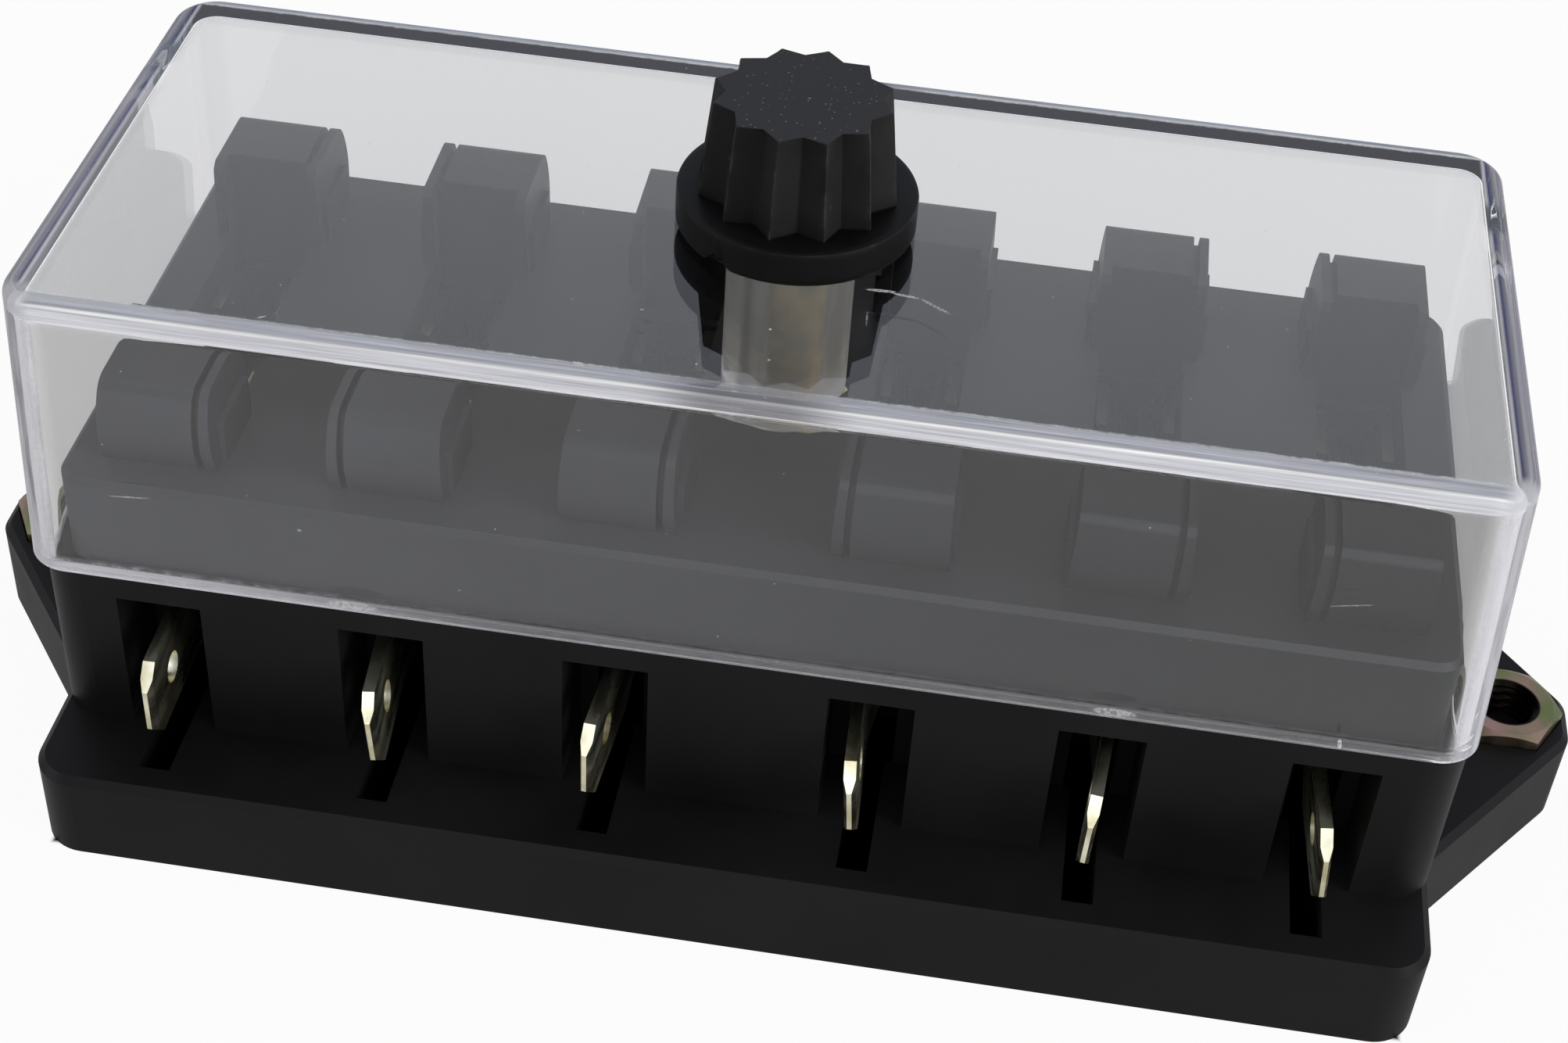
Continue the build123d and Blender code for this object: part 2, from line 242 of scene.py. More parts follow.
def paintedLightTone(tree, finish):
    # Painted light, shade and highlight, fitted to the photo's light: front faces, the left and
    # arrises lighter, the sides darker
    x, y, z = axes(tree, objectPoint(tree, (1000, 1000, 1000)))
    turned = tree.nodes.new("ShaderNodeNewGeometry")
    across, along, upward = axes(tree, turned.outputs["Normal"])
    left = below(tree, x, *finish["leftToRight"])

    def tone(share):
        return plus(tree, times(tree, left, share[1]), share[0])

    forward = times(tree, along, -1)
    sideways = between(tree, absolute(tree, across), *finish["sidewaysFrom"])
    facing = between(tree, forward, *finish["facingFrom"])
    total = mixValue(tree, facing, tone(finish["paintedDeckLightAndShade"]), finish["paintedRearShade"])
    behind = between(tree, y, *finish["frontReach"])
    total = mixValue(tree, behind, tone(finish["paintedFrontLight"]), total)
    total = mixValue(tree, sideways, total, tone(finish["paintedSideShade"]))
    arris = times(tree, between(tree, forward, *finish["arrisFrom"]),
                  between(tree, upward, *finish["arrisFrom"]), mathNode(tree, "LESS_THAN", y, 0))
    return mixValue(tree, arris, total, finish["paintedArrisHighlight"])


def mouldedPlastic(name, finish):
    material, tree, shader = startMaterial(name, finish)
    point = objectPoint(tree)
    cloud = noise(tree, point, finish["cloudScale"], 5)
    body = ramp(tree, cloud, [(0.35, finish["dark"]), (0.7, finish["light"])])
    # Painted light: lighter above the shoulder, under the clear wall, toned by the painted light
    # and shade
    level = axes(tree, objectPoint(tree, (1000, 1000, 1000)))[2]
    indoors = between(tree, level, finish["insideZ"], finish["insideZ"] + finish["insideFade"])
    clouded = times(tree, indoors, ramp(tree, cloud, [(0.3, 0.75), (0.7, 1.0)]))
    body = mixColour(tree, clouded, body, scaled(tree, finish["inside"], paintedLightTone(tree, finish)))
    dust = specks(tree, point, *finish["dustSpecks"])
    link(tree, mixColour(tree, dust, body, finish["dust"]), shader.inputs["Base Color"])
    grain = noise(tree, point, finish["grainScale"], 2)
    smoothest, roughest = (finish["roughness"] + spread for spread in finish["roughSpread"])
    link(tree, ramp(tree, cloud, [(0.3, smoothest), (0.75, roughest)]), shader.inputs["Roughness"])
    bump(tree, shader, grain, *finish["grainBump"])
    return material


# The rim's painted shade and the flanks' painted light are fitted to the photo's light
knobFinish = {
    "colour": (0.008, 0.008, 0.0082),
    "dark": (0.005, 0.005, 0.005),
    "light": (0.010, 0.0098, 0.0098),
    "top": (0.026, 0.026, 0.029),
    "worn": (0.055, 0.052, 0.046),
    "speckle": (0.17, 0.17, 0.165),
    "rimZ": 44.12,
    "paintedRimShade": 0.4,
    "paintedFlankLight": 1.1,
    "flankFrom": (0.1, 0.8),
    "cloudScale": 220,
    "fineScale": 3200,
    "fineBump": (0.3, 0.00005),
    "wearScale": 700,
    "wearFrom": (0.53, 0.60),
    "crumbs": (900, 0.09, 0.10),
    "topCrumbs": (2900, 0.17, 0.30),
    "topZ": 50.7,
    "roughness": 0.5,
    "specular": 0.09,
}


def knobPlastic(name, finish):
    material, tree, shader = startMaterial(name, finish)
    point = objectPoint(tree)
    cloud = noise(tree, point, finish["cloudScale"], 4)
    body = ramp(tree, cloud, [(0.35, finish["dark"]), (0.7, finish["light"])])
    fine = noise(tree, point, finish["fineScale"], 3, 0.7)
    level = axes(tree, objectPoint(tree, (1000, 1000, 1000)))[2]
    onTop = between(tree, level, finish["topZ"] - 0.08, finish["topZ"] - 0.02)
    # Painted shade on the rim and painted light on the flanks to the right, as lit in the photo;
    # greyest on top
    shape = tree.nodes.new("ShaderNodeNewGeometry")
    across, along, upward = axes(tree, shape.outputs["Normal"])
    flank = times(tree, between(tree, across, *finish["flankFrom"]), below(tree, upward, 0.5, 0.6))
    tone = plus(tree, times(tree, flank, finish["paintedFlankLight"]), 1)
    overRim = between(tree, level, finish["rimZ"] - 0.05, finish["rimZ"])
    tone = mixValue(tree, overRim, finish["paintedRimShade"], tone)
    toned = tree.nodes.new("ShaderNodeVectorMath")
    toned.operation = "SCALE"
    link(tree, body, toned.inputs[0])
    link(tree, tone, toned.inputs["Scale"])
    body = mixColour(tree, onTop, toned.outputs["Vector"], finish["top"])
    # Ridges and arrises rubbed lighter in places
    ridge = between(tree, shape.outputs["Pointiness"], *finish["wearFrom"])
    turnedUp = times(tree, between(tree, upward, 0.8, 0.9), minus(tree, 1, onTop))
    ridge = times(tree, ridge, minus(tree, 1, turnedUp))
    wear = noise(tree, point, finish["wearScale"], 3)
    rubbed = times(tree, ridge, ramp(tree, wear, [(0.42, 0.15), (0.6, 1.0)]))
    body = mixColour(tree, rubbed, body, finish["worn"])
    crumbs = largest(tree, specks(tree, point, *finish["crumbs"]),
                     times(tree, specks(tree, point, *finish["topCrumbs"]), onTop))
    dots = times(tree, crumbs, plus(tree, times(tree, onTop, 0.6), 0.25))
    link(tree, mixColour(tree, dots, body, finish["speckle"]), shader.inputs["Base Color"])
    bump(tree, shader, fine, *finish["fineBump"])
    return material


terminalFinish = {
    "colour": (0.74, 0.70, 0.50),
    "bright": (0.92, 0.90, 0.70),
    "dull": (0.44, 0.39, 0.22),
    "roughness": 0.28,
    "metallic": 1.0,
    "cloudScale": 260,
    "streaks": (1, 0.15, 1),
    "shadeZ": 19.5,
    "shade": 0.22,
}
nutFinish = {
    "colour": (0.20, 0.15, 0.10),
    "bright": (0.27, 0.17, 0.14),
    "dull": (0.13, 0.15, 0.06),
    "roughness": 0.36,
    "metallic": 1.0,
    "cloudScale": 240,
    "streaks": (1, 1, 0.2),
    "holes": (-53.2, 53.2),
    "holeReach": 2.3,
    "shade": 0.03,
}
studFinish = {
    "colour": (0.20, 0.16, 0.08),
    "bright": (0.42, 0.29, 0.11),
    "dull": (0.10, 0.095, 0.045),
    "roughness": 0.5,
    "metallic": 1.0,
    "cloudScale": 300,
    "streaks": (1, 1, 0.3),
}
insertFinish = {
    "colour": (0.70, 0.58, 0.36),
    "bright": (0.78, 0.68, 0.46),
    "dull": (0.55, 0.44, 0.26),
    "roughness": 0.4,
    "metallic": 1.0,
    "cloudScale": 300,
    "streaks": (1, 1, 0.3),
}
metalGrain = {
    "scale": 900,
    "roughSpread": (-0.06, 0.1),
    "bump": (0.25, 0.00003),
    "shadeFade": 0.6,
    "holeFade": 0.15,
}


def platedMetal(name, finish):
    material, tree, shader = startMaterial(name, finish)
    cloud = noise(tree, objectPoint(tree), finish["cloudScale"], 4)
    colour = ramp(tree, cloud, [(0.35, finish["dull"]), (0.62, finish["bright"])])
    # Painted shade: darkened inside the housing or a hole, to match the photo
    x, y, z = axes(tree, objectPoint(tree, (1000, 1000, 1000)))
    dark = None
    if "shadeZ" in finish:
        dark = between(tree, z, finish["shadeZ"], finish["shadeZ"] + metalGrain["shadeFade"])
    if "holes" in finish:
        radii = []
        for place in finish["holes"]:
            away = minus(tree, x, place)
            square = plus(tree, times(tree, away, away), times(tree, y, y))
            radii.append(mathNode(tree, "SQRT", square, 0))
        reach = finish["holeReach"]
        dark = below(tree, smallest(tree, *radii), reach, reach + metalGrain["holeFade"])
    if dark:
        shaded = tuple(part * finish["shade"] for part in finish["colour"])
        colour = mixColour(tree, dark, colour, shaded)
    link(tree, colour, shader.inputs["Base Color"])
    rolled = noise(tree, objectPoint(tree, finish["streaks"]), metalGrain["scale"], 3)
    smoothest, roughest = (finish["roughness"] + spread for spread in metalGrain["roughSpread"])
    link(tree, ramp(tree, rolled, [(0.3, smoothest), (0.7, roughest)]), shader.inputs["Roughness"])
    bump(tree, shader, rolled, *metalGrain["bump"])
    return material


# The tones and diffuse whitening placed by coordinates are painted light and shade, fitted to the
# photo, in place of light that the clear edges would carry. The specks and marks are dust,
# scratches and chips
clearFinish = {
    "colour": (0.988, 0.988, 0.989),
    "mark": (0.72, 0.73, 0.75),
    "roughness": 0.0,
    "ior": 1.5,
    "topZ": 41.3,
    "footZ": 20.33,
    "rise": 20.97,
    "footHalf": (47.5, 20.1),
    "draft": (0.9, 1.0),
    "bandReach": 1.3,
    "paintedBandTones": [(0.0, (0.80, 0.80, 0.85)), (0.40, (0.74, 0.74, 0.80)), (0.44, (1.0, 1.0, 1.0)),
                  (0.49, (1.0, 1.0, 1.0)), (0.54, (0.50, 0.51, 0.57)), (0.80, (0.56, 0.58, 0.66)),
                  (0.95, (0.62, 0.64, 0.72)), (1.0, (0.95, 0.95, 1.0))],
    "frontPaintedLight": 0.86,
    "endPaintedLight": 0.62,
    "paintedEndTones": [(0.0, (0.62, 0.62, 0.68)), (0.45, (0.40, 0.39, 0.46)), (0.6, (0.30, 0.30, 0.37)),
                 (0.72, (0.55, 0.55, 0.62)), (0.84, (0.28, 0.28, 0.36)),
                 (0.93, (0.03, 0.045, 0.22)), (1.0, (0.9, 0.9, 0.95))],
    "endGap": 10.5,
    "endOpen": (0.8, 2.4),
    "backPaintedLight": 0.84,
    "paintedBackTones": [(0.0, (0.44, 0.50, 0.62)), (0.6, (0.48, 0.55, 0.69)), (0.85, (0.52, 0.58, 0.70)),
                  (0.95, (0.95, 0.95, 1.0)), (1.0, (1.0, 1.0, 1.0))],
    "leans": (0.15, 0.25),
    "ragScale": 1.6,
    "rags": (0.35, 0.3),
    "streakStretch": (0.035, 2.4),
    "streakScale": 1.7,
    "streakTones": [(0.3, 0.62), (0.5, 0.95), (0.72, 1.25)],
    "cornerReach": (1.5, 2.5),
    "cornerScale": 1.4,
    "cornerPaintedLight": 0.62,
    "cornerPaintedTone": (0.66, 0.66, 0.71),
    "pillarPaintedLight": 0.30,
    "pillarRough": 0.17,
    "pillarPaintedTone": (0.50, 0.50, 0.47),
    "pillarReach": 5.3,
    "pillarFoot": (28.2, 31.5),
    "pillarFootPaintedLight": 0.35,
    "rimPaintedLight": 0.10,
    "rimLine": 0.16,
    "rimScale": 1.3,
    "rimLeft": (-42, -12),
    "rimLeftMore": 3.2,
    "specks": (0.55, 0.022, 0.4),
    "pillarInside": 3.2,
    "pillarClear": (2.0, 7.5),
    "pillarShare": 0.38,
    "throughTone": (0.93, 0.93, 0.94),
    # Scratches and chips: face, place along x and y (top) or x and z (front), half sizes,
    # turn in degrees, strength
    "marks": [
        ("top", (6.0, -6.5), (1.1, 0.16), 3, 0.9),
        ("top", (7.6, -6.7), (1.0, 0.14), -6, 0.7),
        ("top", (9.5, -7.4), (1.4, 0.16), -32, 0.4),
        ("top", (-0.2, -12.0), (0.12, 0.12), 0, 0.9),
        ("top", (0.2, -15.1), (0.1, 0.1), 0, 0.8),
        ("top", (-4.0, -16.4), (0.1, 0.1), 0, 0.8),
        ("top", (5.5, -9.6), (0.07, 0.9), 4, 0.3),
        ("top", (-8.2, -11.7), (0.16, 0.1), 0, 0.6),
        ("top", (-10.9, -17.9), (0.45, 0.22), -10, 0.9),
        ("top", (-30.5, -17.4), (0.38, 0.07), 35, 0.9),
        ("front", (-25.3, 20.9), (1.9, 0.42), 0, 0.5),
        ("front", (24.1, 20.9), (1.6, 0.38), 0, 0.5),
        ("front", (38.3, 20.9), (0.15, 0.5), 10, 0.9),
        ("front", (-28.5, 26.6), (0.13, 0.13), 0, 0.9),
        ("front", (36.9, 32.0), (1.6, 0.06), 12, 0.35),
        ("front", (-39.6, 27.4), (1.5, 0.07), 5, 0.4),
    ],
}


def coverMarks(tree, point, finish):
    # Thin ellipses on the top and the front wall, worn through in places
    x, y, z = axes(tree, point)
    onTop = mathNode(tree, "GREATER_THAN", z, finish["topZ"] - 0.05)
    onFront = mathNode(tree, "LESS_THAN", y, 0.2 - finish["footHalf"][1] + finish["draft"][1])
    broken = ramp(tree, noise(tree, point, 4.5, 3, 0.7), [(0.40, 0.25), (0.55, 1.0)])
    total = 0
    for face, place, halves, turn, strength in finish["marks"]:
        first = minus(tree, x, place[0])
        second = minus(tree, y if face == "top" else z, place[1])
        cosine, sine = math.cos(math.radians(turn)), math.sin(math.radians(turn))
        long, wide = halves
        along = plus(tree, times(tree, first, cosine / long), times(tree, second, sine / long))
        aside = minus(tree, times(tree, second, cosine / wide), times(tree, first, sine / wide))
        radial = plus(tree, times(tree, along, along), times(tree, aside, aside))
        side = onTop if face == "top" else onFront
        spot = times(tree, below(tree, radial, 0.5, 1.0), strength, side)
        total = largest(tree, total, spot)
    return times(tree, total, broken)


def clearPlastic(name, finish):
    material, tree, shader = startMaterial(name, finish)
    shader.inputs["Transmission Weight"].default_value = 1
    shader.inputs["IOR"].default_value = finish["ior"]
    point = objectPoint(tree, (1000, 1000, 1000))
    x, y, z = axes(tree, point)

    # Distances in mm from the ends, the long sides and the top
    rise = times(tree, minus(tree, z, finish["footZ"]), 1 / finish["rise"])
    x = plus(tree, x, plus(tree, times(tree, rise, finish["leans"][1]), finish["leans"][0]))
    gaps = []
    for place, half, draft in zip((x, y), finish["footHalf"], finish["draft"]):
        outside = minus(tree, half, times(tree, rise, draft))
        gaps.append(minus(tree, outside, absolute(tree, place)))
    endGap, sideGap = gaps
    edgeGap = smallest(tree, endGap, sideGap)
    topGap = minus(tree, finish["topZ"], z)
    atEnd = mathNode(tree, "LESS_THAN", endGap, sideGap)
    atFront = mathNode(tree, "LESS_THAN", y, 0)

    # Painted light and shade: a streaked band along the top edges, drawn out along each edge
    reach = finish["bandReach"]
    rags, fewerAtEnd = finish["rags"]
    raggedness = minus(tree, rags, times(tree, atEnd, fewerAtEnd))
    ragged = times(tree, noise(tree, point, finish["ragScale"], 4, 0.7), raggedness)
    band = times(tree, below(tree, plus(tree, edgeGap, ragged), reach, reach + 0.3),
                 below(tree, topGap, reach, reach + 0.12))
    across = minus(tree, edgeGap, topGap)
    along = tree.nodes.new("ShaderNodeMix")
    link(tree, atEnd, along.inputs["Factor"])
    link(tree, x, along.inputs["A"])
    link(tree, y, along.inputs["B"])
    stretchAlong, stretchAcross = finish["streakStretch"]
    drawn = joined(tree, times(tree, along.outputs["Result"], stretchAlong),
                   times(tree, across, stretchAcross), 0)
    streaks = noise(tree, drawn, finish["streakScale"], 5, 0.65)
    place = plus(tree, times(tree, across, 0.5 / reach), 0.5)
    paintedBackTones, frontTones, paintedEndTones = (ramp(tree, place, finish[name])
                                       for name in ("paintedBackTones", "paintedBandTones", "paintedEndTones"))
    tones = mixColour(tree, atEnd, mixColour(tree, atFront, paintedBackTones, frontTones), paintedEndTones)
    streaked = ramp(tree, streaks, finish["streakTones"])
    toned = tree.nodes.new("ShaderNodeVectorMath")
    toned.operation = "MULTIPLY"
    link(tree, tones, toned.inputs[0])
    link(tree, streaked, toned.inputs[1])

    long = minus(tree, 1, atEnd)
    openAt = absolute(tree, minus(tree, y, finish["endGap"]))
    frontMore = times(tree, atFront, finish["frontPaintedLight"] - finish["backPaintedLight"])
    endOpen = between(tree, openAt, *finish["endOpen"])
    share = plus(tree, times(tree, atEnd, endOpen, finish["endPaintedLight"]),
                 times(tree, long, plus(tree, frontMore, finish["backPaintedLight"])))
    # Less of the painted light where the pillar shows through the band
    pillarLeast = finish["pillarShare"]
    pillarSide = between(tree, absolute(tree, x), *finish["pillarClear"])
    clearing = plus(tree, times(tree, pillarSide, 1 - pillarLeast), pillarLeast)
    paintedEdgeLight = times(tree, band, share, clearing)

    # Painted light: whitish upright corners at the front
    upright = times(tree, below(tree, endGap, *finish["cornerReach"]),
                    below(tree, sideGap, *finish["cornerReach"]), atFront)
    cornerPoint = joined(tree, x, y, times(tree, z, 0.12))
    cornerNoise = noise(tree, cornerPoint, finish["cornerScale"], 3)
    cornerShare = times(tree, upright, ramp(tree, cornerNoise, [(0.3, 0.5), (0.6, 1.0)]),
                        finish["cornerPaintedLight"])
    # Painted light along the foot of the rim, broken up by noise and whiter to the left
    rimNoise = noise(tree, joined(tree, x, y, times(tree, z, 2)), finish["rimScale"], 4, 0.7)
    rim = times(tree, below(tree, z, finish["footZ"] + 0.35, finish["footZ"] + 0.9),
                ramp(tree, rimNoise, [(0.42, 0.3), (0.62, 1.0)]), finish["rimPaintedLight"])
    atLeft = below(tree, x, *finish["rimLeft"])
    whiter = plus(tree, times(tree, atLeft, finish["rimLeftMore"]), 1)
    line = times(tree, below(tree, z, finish["footZ"] + 0.25, finish["footZ"] + 0.45),
                 finish["rimLine"])
    rim = times(tree, largest(tree, rim, line), whiter)
    # Painted light on the pillar, whiter at its foot; its satin roughness is its own, set below
    radial = mathNode(tree, "SQRT", plus(tree, times(tree, x, x), times(tree, y, y)), 0)
    onPillar = times(tree, mathNode(tree, "LESS_THAN", radial, finish["pillarReach"]),
                     mathNode(tree, "GREATER_THAN", radial, finish["pillarInside"]),
                     mathNode(tree, "LESS_THAN", z, finish["topZ"] - 1.5))
    footWhite = times(tree, below(tree, z, *finish["pillarFoot"]), finish["pillarFootPaintedLight"])
    pillarPaintedShare = times(tree, onPillar, plus(tree, footWhite, finish["pillarPaintedLight"]))

    specksHere = largest(tree, specks(tree, point, *finish["specks"]),
                         coverMarks(tree, point, finish))
    # The diffuse share carries the painted light and shade above, and the specks and marks
    paintedLightAndMarks = tree.nodes.new("ShaderNodeBsdfDiffuse")
    tone = mixColour(tree, upright, toned.outputs["Vector"], finish["cornerPaintedTone"])
    tone = mixColour(tree, onPillar, tone, finish["pillarPaintedTone"])
    tone = mixColour(tree, specksHere, tone, finish["mark"])
    link(tree, tone, paintedLightAndMarks.inputs["Color"])
    amount = paintedEdgeLight
    for more in (cornerShare, rim, pillarPaintedShare, specksHere):
        amount = largest(tree, amount, more)
    link(tree, times(tree, onPillar, finish["pillarRough"]), shader.inputs["Roughness"])
    marked = tree.nodes.new("ShaderNodeMixShader")
    link(tree, amount, marked.inputs["Fac"])
    link(tree, shader.outputs["BSDF"], marked.inputs[1])
    link(tree, paintedLightAndMarks.outputs["BSDF"], marked.inputs[2])
    # Lamps and bounced light pass straight through, so what is inside is lit
    path = tree.nodes.new("ShaderNodeLightPath")
    passing = largest(tree, path.outputs["Is Shadow Ray"], path.outputs["Is Diffuse Ray"])
    through = tree.nodes.new("ShaderNodeBsdfTransparent")
    through.inputs["Color"].default_value = (*finish["throughTone"], 1)
    mixed = tree.nodes.new("ShaderNodeMixShader")
    link(tree, passing, mixed.inputs["Fac"])
    link(tree, marked.outputs["Shader"], mixed.inputs[1])
    link(tree, through.outputs["BSDF"], mixed.inputs[2])
    output = tree.nodes["Material Output"]
    link(tree, mixed.outputs["Shader"], output.inputs["Surface"])
    return material


materials = {
    "black": mouldedPlastic("blackMoulding", mouldingFinish),
    "knob": knobPlastic("knobMoulding", knobFinish),
    "clear": clearPlastic("clearMoulding", clearFinish),
    "terminal": platedMetal("terminalPlating", terminalFinish),
    "nut": platedMetal("nutPlating", nutFinish),
    "stud": platedMetal("studBrass", studFinish),
    "insert": platedMetal("insertBrass", insertFinish),
}


def dress(nodeName, material):
    mesh = nodes[nodeName].data
    mesh.materials.clear()
    mesh.materials.append(material)


dress("base_housing", materials["black"])
dress("cover", materials["clear"])
dress("knob", materials["knob"])
dress("knob_stud", materials["stud"])
dress("thread_insert", materials["insert"])
for side in ("left", "right"):
    dress(f"{side}_mounting_nut", materials["nut"])
for row in ("front", "rear"):
    for way in range(1, 7):
        dress(f"{row}_terminal_{way}", materials["terminal"])
print("materials done")


# Mesh helpers

def addLoops(bm, rings, closed=True):
    # Skin over rings of equally many points: closed, the last ring meets the first
    rows = [[bm.verts.new(point) for point in ring] for ring in rings]
    count = len(rings[0])
    pairs = list(zip(rows, rows[1:]))
    if closed:
        pairs.append((rows[-1], rows[0]))
    for lower, upper in pairs:
        for step in range(count):
            following = (step + 1) % count
            bm.faces.new((lower[step], lower[following], upper[following], upper[step]))
    if not closed:
        bm.faces.new(rows[0][::-1])
        bm.faces.new(rows[-1])
    return rows


def finishPiece(bm, name, material, sharpAngle=None):
    bmesh.ops.recalc_face_normals(bm, faces=bm.faces)
    for face in bm.faces:
        face.smooth = True
    mesh = bpy.data.meshes.new(name)
    bm.to_mesh(mesh)
    bm.free()
    if sharpAngle:
        mesh.set_sharp_from_angle(angle=math.radians(sharpAngle))
    mesh.materials.append(material)
    piece = bpy.data.objects.new(name, mesh)
    bpy.context.scene.collection.objects.link(piece)
    return piece


def declare(piece, node, body):
    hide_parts(node)
    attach(piece, body)


def ringPoint(radius, turn, level, shiftX=0.0):
    across = radius * math.cos(turn) + shiftX
    return Vector((across * mm, radius * math.sin(turn) * mm, level * mm))


def roundedRing(halfX, halfY, radius, level, steps, guard):
    # Rounded rectangle with a guard point either side of each corner, in metres
    ring = []
    for quarter, (sideX, sideY) in enumerate(((1, 1), (-1, 1), (-1, -1), (1, -1))):
        centreX = sideX * (halfX - radius)
        centreY = sideY * (halfY - radius)
        corner = [(math.cos(turn), math.sin(turn)) for turn in
                  (math.pi / 2 * (quarter + step / steps) for step in range(steps + 1))]
        points = [(centreX + radius * across, centreY + radius * along) for across, along in corner]
        first, last = corner[0], corner[-1]
        before = (points[0][0] - guard * last[0], points[0][1] - guard * last[1])
        after = (points[-1][0] - guard * first[0], points[-1][1] - guard * first[1])
        ring += [before] + points + [after]
    return [Vector((x * mm, y * mm, level * mm)) for x, y in ring]


def circleRing(radius, level, count, shiftX=0.0):
    # Circle whose points pair off with those of a rounded ring of the same count
    turns = [2 * math.pi * (step + 0.5) / count for step in range(count)]
    return [ringPoint(radius, turn, level, shiftX) for turn in turns]


# Clear cover: one closed profile carried round the box, down the pillar and up its bore

coverSizes = {
    "footHalf": (47.5, 20.1),
    "topHalf": (46.72, 19.1),
    "footZ": 20.33,
    "topZ": 41.3,
    "leanFoot": -0.15,
    "leanTop": -0.4,
    "wall": 1.35,
    "topWall": 1.9,
    "corner": 3.0,
    "topRound": 0.9,
    "innerRound": 0.35,
    "rimRound": 0.12,
    "guard": 0.3,
    "cornerSteps": 12,
    "roundSteps": 7,
    "pillarRadius": 4.25,
    "pillarFillet": 0.9,
    "pillarFootZ": 27.35,
    "pillarFootRound": 0.25,
    "boreRadius": 2.25,
}


def makeCover():
    size = coverSizes
    rise = size["topZ"] - size["footZ"]

    def ring(inset, level):
        share = (level - size["footZ"]) / rise
        halves = [foot + (top - foot) * share - inset
                  for foot, top in zip(size["footHalf"], size["topHalf"])]
        radius = max(size["corner"] - inset, 0.35)
        leanX = size["leanFoot"] + (size["leanTop"] - size["leanFoot"]) * share
        lean = Vector((leanX * mm, 0, 0))
        outline = roundedRing(*halves, radius, level, size["cornerSteps"], size["guard"])
        return [point + lean for point in outline]

    def arc(radius, inset, level, start, end):
        turns = [math.radians(start + (end - start) * step / size["roundSteps"])
                 for step in range(size["roundSteps"] + 1)]
        return [(inset + radius * math.cos(turn), level + radius * math.sin(turn))
                for turn in turns]

    top, foot, wall = size["topZ"], size["footZ"], size["wall"]
    ceiling = top - size["topWall"]
    outer, inner, rim = size["topRound"], size["innerRound"], size["rimRound"]
    guard = size["guard"]
    profile = [(outer + guard, top)] + arc(outer, outer, top - outer, 90, 180)
    profile += [(0, top - outer - guard), (0, foot + rim + guard), (0, foot + rim), (rim, foot)]
    profile += [(rim + guard, foot), (wall - rim, foot), (wall, foot + rim)]
    profile += [(wall, foot + rim + guard), (wall, ceiling - inner - guard)]
    profile += arc(inner, wall + inner, ceiling - inner, 180, 90)
    profile += [(wall + inner + guard, ceiling)]
    rings = [ring(inset, level) for inset, level in profile]

    count = len(rings[0])
    pillar, fillet = size["pillarRadius"], size["pillarFillet"]
    low, footRound, bore = size["pillarFootZ"], size["pillarFootRound"], size["boreRadius"]
    turned = [(pillar + fillet + guard, ceiling)]
    for step in range(size["roundSteps"] + 1):
        turn = math.radians(90 + 90 * step / size["roundSteps"])
        turned.append((pillar + fillet + fillet * math.cos(turn),
                       ceiling - fillet + fillet * math.sin(turn)))
    turned += [(pillar, ceiling - fillet - guard), (pillar, low + footRound + guard)]
    turned += [(pillar, low + footRound)]
    turned += [(pillar - footRound, low), (pillar - footRound - guard, low)]
    rings += [circleRing(radius, level, count, size["leanTop"]) for radius, level in turned]
    # The bore stands on the knob's axis, so that the stud turns freely in it
    bored = [(bore + 0.1, low), (bore, low + 0.1), (bore, low + 0.4), (bore, top - 0.5)]
    bored += [(bore, top - 0.2), (bore + 0.2, top), (bore + 0.5, top)]
    rings += [circleRing(radius, level, count) for radius, level in bored]
    bm = bmesh.new()
    addLoops(bm, rings)
    declare(finishPiece(bm, "clearCover", materials["clear"]), "cover", "cover")


makeCover()
print("cover done")


# Knob: round rim with a knocked edge, and a tapered grip with twelve ridges

knobSizes = {
    "shiftX": -0.3,
    "footZ": 41.6,
    "topZ": 50.7,
    "rimRadius": 7.8,
    "rimHeight": 2.4,
    "rimRound": 0.22,
    "boreRadius": 2.1,
    "points": 12,
    "turn": 22.0,
    "gripFoot": 6.6,
    "gripTop": 5.85,
    "valley": 0.815,
    "ridgeRound": 0.11,
    "chipTurn": 237.0,
    "chipSpread": 7.0,
    "chipDepth": 0.55,
    "chipSteep": 2.2,
    "chipRough": (0.75, 0.25, 2.7),
    "around": 180,
}


